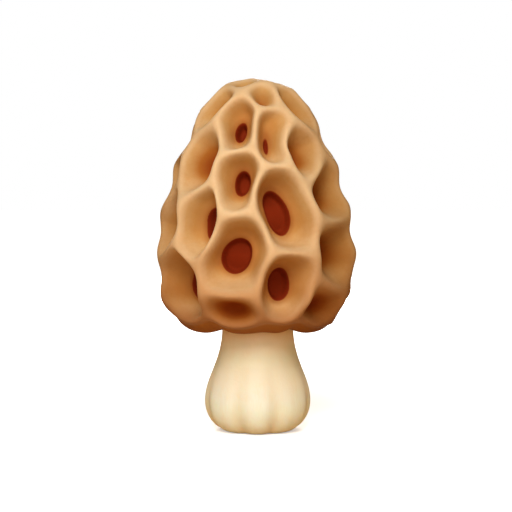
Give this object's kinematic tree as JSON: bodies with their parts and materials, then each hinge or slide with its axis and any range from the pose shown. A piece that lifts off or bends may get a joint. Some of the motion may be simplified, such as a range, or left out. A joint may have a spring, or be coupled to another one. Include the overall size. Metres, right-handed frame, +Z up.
{
  "type": "morel mushroom",
  "caption": "Morel mushroom with an egg-shaped honeycomb cap of rounded ridges and deep blind pits on a pale stem with a lobed foot.",
  "frame": {"origin": "centre of the stem's foot, on the surface that the mushroom stands on", "axes": "+Z up the stem to the top of the cap, -Y towards the front, +X to the right"},
  "size_m": [0.0562, 0.0567, 0.1],
  "materials": {
    "cap_flesh": null,
    "stem_flesh": null
  },
  "bodies": {
    "root": {"cap": "cap_flesh", "stem": "stem_flesh"}
  },
  "joints": []
}
